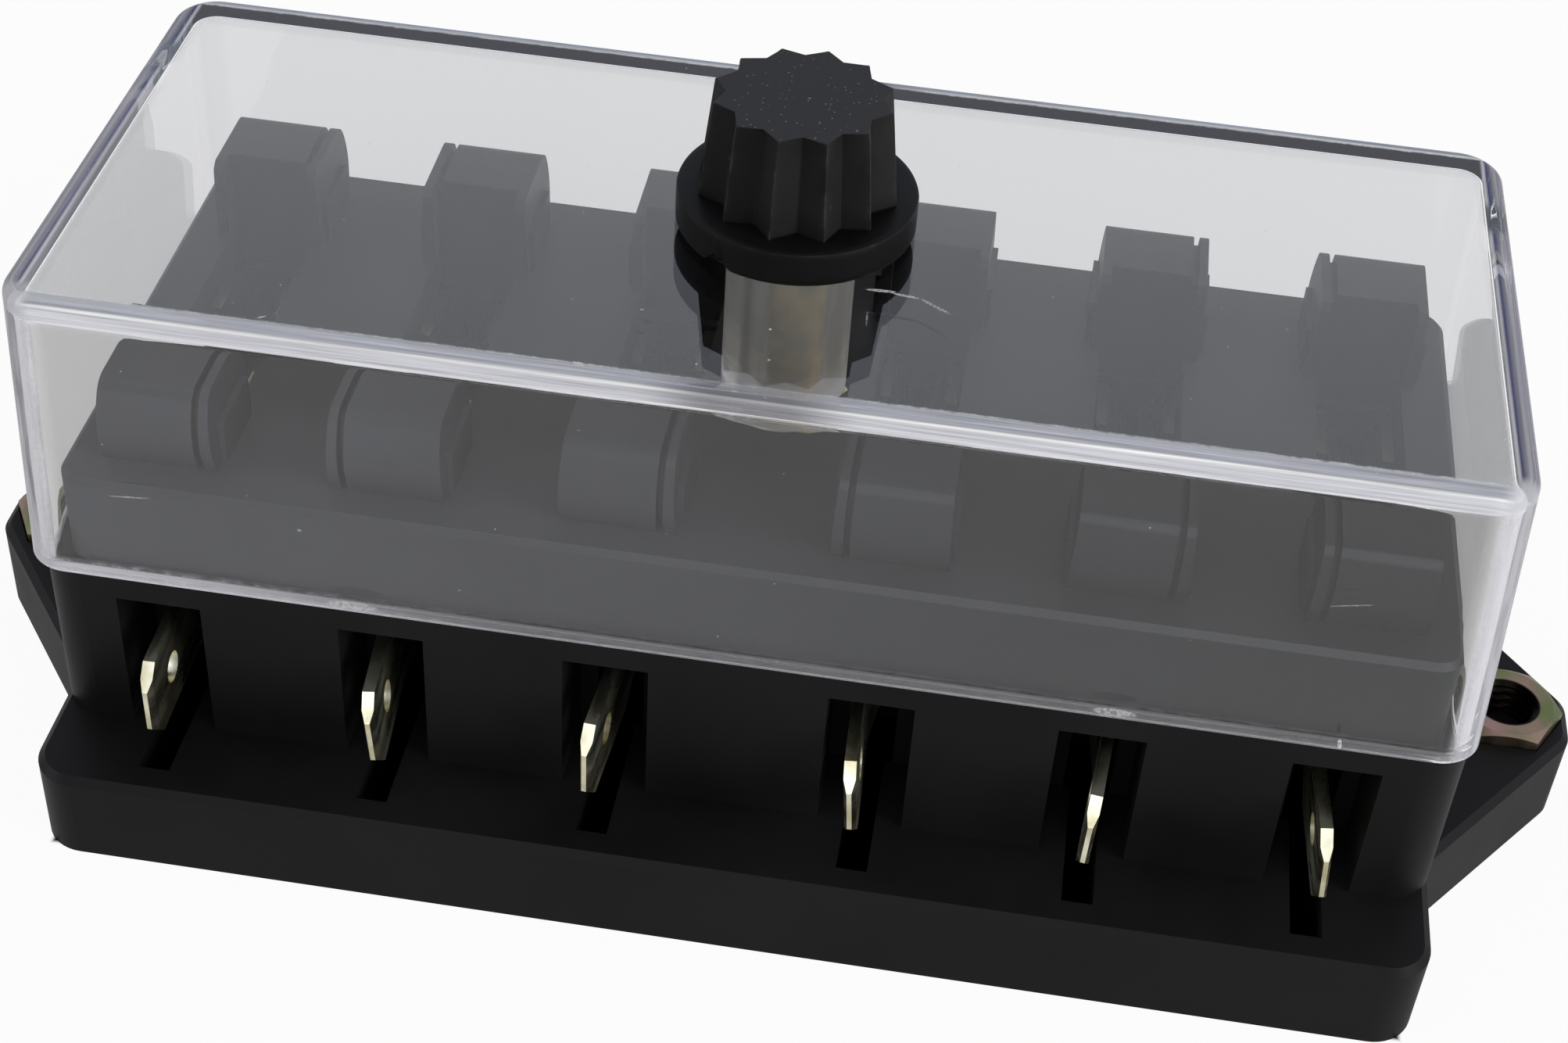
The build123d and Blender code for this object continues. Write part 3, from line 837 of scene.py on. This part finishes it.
def makeKnob():
    size = knobSizes
    foot, top = size["footZ"], size["topZ"]
    rimTop = foot + size["rimHeight"]
    rim, edge = size["rimRadius"], size["rimRound"]
    bore = size["boreRadius"]
    bm = bmesh.new()

    # Rim, as a ring profile from the bore outwards and back over its top
    profile = [(bore, foot + 1.2), (bore, foot), (rim - edge - 0.3, foot), (rim - edge, foot)]
    profile += [(rim - edge * 0.3, foot + edge * 0.3), (rim, foot + edge), (rim, foot + edge + 0.3)]
    profile += [(rim, rimTop - edge - 0.3), (rim, rimTop - edge)]
    profile += [(rim - edge * 0.3, rimTop - edge * 0.3), (rim - edge, rimTop)]
    profile += [(rim - edge - 0.3, rimTop), (bore + 1.6, rimTop)]
    profile += [(bore + 0.3, rimTop), (bore, rimTop)]
    rings = [circleRing(radius, level, size["around"], size["shiftX"]) for radius, level in profile]
    rows = addLoops(bm, rings)

    # Knock in the lower edge of the rim
    least, more, wave = size["chipRough"]
    for row in rows[3:7]:
        for step, vert in enumerate(row):
            turn = 360 * (step + 0.5) / size["around"]
            near = 1 - abs(turn - size["chipTurn"]) / size["chipSpread"]
            if near > 0:
                rough = least + more * math.sin(step * wave)
                bite = size["chipDepth"] * min(1, near * size["chipSteep"]) * rough
                vert.co.z += bite * mm * (0.9 if vert.co.z < (foot + 0.4) * mm else 0.15)
                vert.co.x -= bite * 0.5 * mm * math.cos(math.radians(turn))
                vert.co.y -= bite * 0.5 * mm * math.sin(math.radians(turn))

    # Grip
    def star(level):
        share = (level - rimTop) / (top - rimTop)
        reach = size["gripFoot"] + (size["gripTop"] - size["gripFoot"]) * share
        points = []
        for step in range(2 * size["points"]):
            turn = math.radians(size["turn"] + 180 * step / size["points"])
            radius = reach if step % 2 == 0 else reach * size["valley"]
            points.append(ringPoint(radius, turn, level, size["shiftX"]))
        return points

    grip = addLoops(bm, [star(rimTop - 0.4), star(top)], closed=False)
    ridges = {vert for row in grip for vert in row}
    sharp = [line for line in bm.edges if set(line.verts) <= ridges]
    bmesh.ops.bevel(bm, geom=sharp, offset=size["ridgeRound"] * mm, offset_type="OFFSET",
                    segments=2, profile=0.5, affect="EDGES", clamp_overlap=True, material=-1)
    declare(finishPiece(bm, "flutedKnob", materials["knob"], 40), "knob", "knob")


makeKnob()
print("knob done")


# Stud with its thread, turned in with the knob

studSizes = {
    "endZ": 19.6,
    "headZ": 46.0,
    "radius": 2.0,
    "threadDepth": 0.3,
    "threadTopZ": 27.0,
    "shank": 1.85,
    "pitch": 0.7,
    "lead": 0.5,
    "around": 32,
    "perPitch": 6,
}


def makeStud():
    size = studSizes
    length = size["headZ"] - size["endZ"]
    count = round(length / size["pitch"] * size["perPitch"])
    rings = []
    for row in range(count + 1):
        level = size["endZ"] + length * row / count
        ring = []
        for step in range(size["around"]):
            turn = 2 * math.pi * step / size["around"]
            phase = (level / size["pitch"] - step / size["around"]) % 1
            groove = size["threadDepth"] * abs(2 * phase - 1)
            tip = max(0, size["lead"] - (level - size["endZ"]))
            radius = size["radius"] - groove - tip * (1 - groove / size["threadDepth"]) * 0.5
            if level > size["threadTopZ"]:
                radius = size["shank"]
            ring.append(ringPoint(radius, turn, level))
        rings.append(ring)
    bm = bmesh.new()
    addLoops(bm, rings, closed=False)
    piece = finishPiece(bm, "threadedStud", materials["stud"], 60)
    declare(piece, "knob_stud", "knob")


makeStud()
print("stud done")


# Mounting nuts with chamfered corners and a thread

nutSizes = {
    "places": {"left": -53.2, "right": 53.2},
    "footZ": 4.8,
    "topZ": 8.0,
    "flats": 7.0,
    "faceShare": 0.95,
    "chamferSlope": 0.55,
    "bore": 2.0,
    "mouth": 2.25,
    "threadDepth": 0.22,
    "pitch": 0.7,
    "perPitch": 6,
    "threadEnds": 0.3,
    "boreMore": 0.1,
    "around": 72,
}


def makeNut(side, placeX):
    size = nutSizes
    half, foot, top = size["flats"] / 2, size["footZ"], size["topZ"]
    face = half * size["faceShare"]

    def ring(rule):
        points = []
        for step in range(size["around"]):
            turn = 2 * math.pi * step / size["around"]
            radius, level = rule(turn)
            points.append(ringPoint(radius, turn, level, placeX))
        return points

    def hexReach(turn):
        return half / math.cos(turn % (math.pi / 3) - math.pi / 6)

    rings = [ring(lambda turn: (size["mouth"], foot)), ring(lambda turn: (face, foot))]
    slope = size["chamferSlope"]
    rings.append(ring(lambda turn: (hexReach(turn), foot + (hexReach(turn) - face) * slope)))
    rings.append(ring(lambda turn: (hexReach(turn), top - (hexReach(turn) - face) * slope)))
    rings += [ring(lambda turn: (face, top)), ring(lambda turn: (size["mouth"], top))]
    low, high = foot + size["threadEnds"], top - size["threadEnds"]
    rows = round((high - low) / size["pitch"] * size["perPitch"])
    for row in range(rows + 1):
        level = high - (high - low) * row / rows

        def threaded(turn, level=level):
            phase = (level / size["pitch"] - turn / (2 * math.pi)) % 1
            groove = size["threadDepth"] * abs(2 * phase - 1)
            return size["bore"] - groove + size["boreMore"], level

        rings.append(ring(threaded))
    bm = bmesh.new()
    addLoops(bm, rings)
    piece = finishPiece(bm, f"{side}Nut", materials["nut"], 22)
    declare(piece, f"{side}_mounting_nut", "base")


for side, placeX in nutSizes["places"].items():
    makeNut(side, placeX)
print("nuts done")


# Floor, lamps, world and camera

stageSizes = {
    "floorSide": 4.0,
    "floorColour": (0.86, 0.86, 0.87),
    "whiteShare": 0.94,
    "ambient": 0.34,
    "coveredHalf": (46.0, 25.4),
    "skyGloss": (0.85, 0.89, 1.03),
    "glossShare": 0.42,
}


def whiteRays(tree):
    # 1 for rays from the camera, from gloss and through clear plastic
    path = tree.nodes.new("ShaderNodeLightPath")
    seen = largest(tree, path.outputs["Is Camera Ray"], path.outputs["Is Glossy Ray"])
    return largest(tree, seen, path.outputs["Is Transmission Ray"])


def makeFloor():
    mesh = bpy.data.meshes.new("floor")
    bm = bmesh.new()
    bmesh.ops.create_grid(bm, x_segments=1, y_segments=1, size=stageSizes["floorSide"] / 2)
    bm.to_mesh(mesh)
    bm.free()
    floor = bpy.data.objects.new("floor", mesh)
    bpy.context.scene.collection.objects.link(floor)
    material = bpy.data.materials.new("floorPaper")
    material.use_nodes = True
    tree = material.node_tree
    shader = tree.nodes["Principled BSDF"]
    shader.inputs["Roughness"].default_value = 0.9
    shader.inputs["Specular IOR Level"].default_value = 0.0
    glow = tree.nodes.new("ShaderNodeEmission")
    glow.inputs["Color"].default_value = (1, 1, 1, 1)
    glow.inputs["Strength"].default_value = 1
    mixed = tree.nodes.new("ShaderNodeMixShader")
    # Painted shadow: black where the object covers the floor, as seen through its open slots
    x, y, z = axes(tree, objectPoint(tree, (1000, 1000, 1000)))
    gaps = [minus(tree, absolute(tree, place), half)
            for place, half in zip((x, y), stageSizes["coveredHalf"])]
    uncovered = between(tree, largest(tree, *gaps), 0, 0.4)
    link(tree, mixColour(tree, uncovered, (0, 0, 0), stageSizes["floorColour"]),
         shader.inputs["Base Color"])
    share = times(tree, whiteRays(tree), uncovered, stageSizes["whiteShare"])
    path = tree.nodes.new("ShaderNodeLightPath")
    # Gloss sees the floor dimmed, fitted to the veil on the cover in the photo
    dimmed = times(tree, path.outputs["Is Glossy Ray"], 1 - stageSizes["glossShare"])
    share = times(tree, share, minus(tree, 1, dimmed))
    link(tree, share, mixed.inputs["Fac"])
    link(tree, shader.outputs["BSDF"], mixed.inputs[1])
    link(tree, glow.outputs["Emission"], mixed.inputs[2])
    link(tree, mixed.outputs["Shader"], tree.nodes["Material Output"].inputs["Surface"])
    mesh.materials.append(material)


def makeWorld():
    world = bpy.data.worlds.new("studio")
    bpy.context.scene.world = world
    world.use_nodes = True
    tree = world.node_tree
    ambient = tree.nodes["Background"]
    ambient.inputs["Color"].default_value = (1, 1, 1, 1)
    ambient.inputs["Strength"].default_value = stageSizes["ambient"]
    white = tree.nodes.new("ShaderNodeBackground")
    # Gloss sees the world bluish, fitted to the photo
    path = tree.nodes.new("ShaderNodeLightPath")
    mirrored = minus(tree, path.outputs["Is Glossy Ray"], path.outputs["Is Transmission Ray"])
    link(tree, mixColour(tree, largest(tree, mirrored, 0), (1, 1, 1), stageSizes["skyGloss"]),
         white.inputs["Color"])
    white.inputs["Strength"].default_value = 1
    mixed = tree.nodes.new("ShaderNodeMixShader")
    link(tree, whiteRays(tree), mixed.inputs["Fac"])
    link(tree, ambient.outputs["Background"], mixed.inputs[1])
    link(tree, white.outputs["Background"], mixed.inputs[2])
    link(tree, mixed.outputs["Shader"], tree.nodes["World Output"].inputs["Surface"])


lamps = [
    {"name": "rightLamp", "place": (0.75, -0.35, 0.32), "size": 0.45, "power": 4.6},
    {"name": "leftLamp", "place": (-0.75, -0.30, 0.40), "size": 0.45, "power": 1.7},
    {"name": "frontLamp", "place": (-0.05, -0.85, 0.55), "size": 0.4, "power": 1.2},
]


def makeLamp(lamp):
    light = bpy.data.lights.new(lamp["name"], "AREA")
    light.size = lamp["size"]
    light.energy = lamp["power"]
    holder = bpy.data.objects.new(lamp["name"], light)
    place = Vector(lamp["place"])
    holder.location = place
    holder.rotation_euler = (-place).to_track_quat("-Z", "Y").to_euler()
    bpy.context.scene.collection.objects.link(holder)


cameraSizes = {
    "lens": 58.69,
    "place": (13.64, -137.53, 134.24),
    "yaw": 5.52,
    "elevation": 40.62,
    "roll": 4.11,
}


def makeCamera():
    data = bpy.data.cameras.new("photoCamera")
    data.sensor_fit = "HORIZONTAL"
    data.sensor_width = 36
    data.lens = cameraSizes["lens"]
    data.clip_start = 0.01
    yaw, elevation, roll = (math.radians(cameraSizes[name])
                            for name in ("yaw", "elevation", "roll"))
    forward = Vector((-math.sin(yaw) * math.cos(elevation),
                      math.cos(yaw) * math.cos(elevation),
                      -math.sin(elevation)))
    level = Vector((math.cos(yaw), math.sin(yaw), 0))
    upward = level.cross(forward)
    right = level * math.cos(roll) + upward * math.sin(roll)
    up = upward * math.cos(roll) - level * math.sin(roll)
    turn = Matrix((right, up, -forward)).transposed().to_4x4()
    camera = bpy.data.objects.new("photoCamera", data)
    camera.matrix_world = Matrix.Translation(Vector(cameraSizes["place"]) * mm) @ turn
    bpy.context.scene.collection.objects.link(camera)
    bpy.context.scene.camera = camera


makeFloor()
makeWorld()
for lamp in lamps:
    makeLamp(lamp)
makeCamera()
bpy.context.scene.view_settings.view_transform = "Standard"
print("stage done")
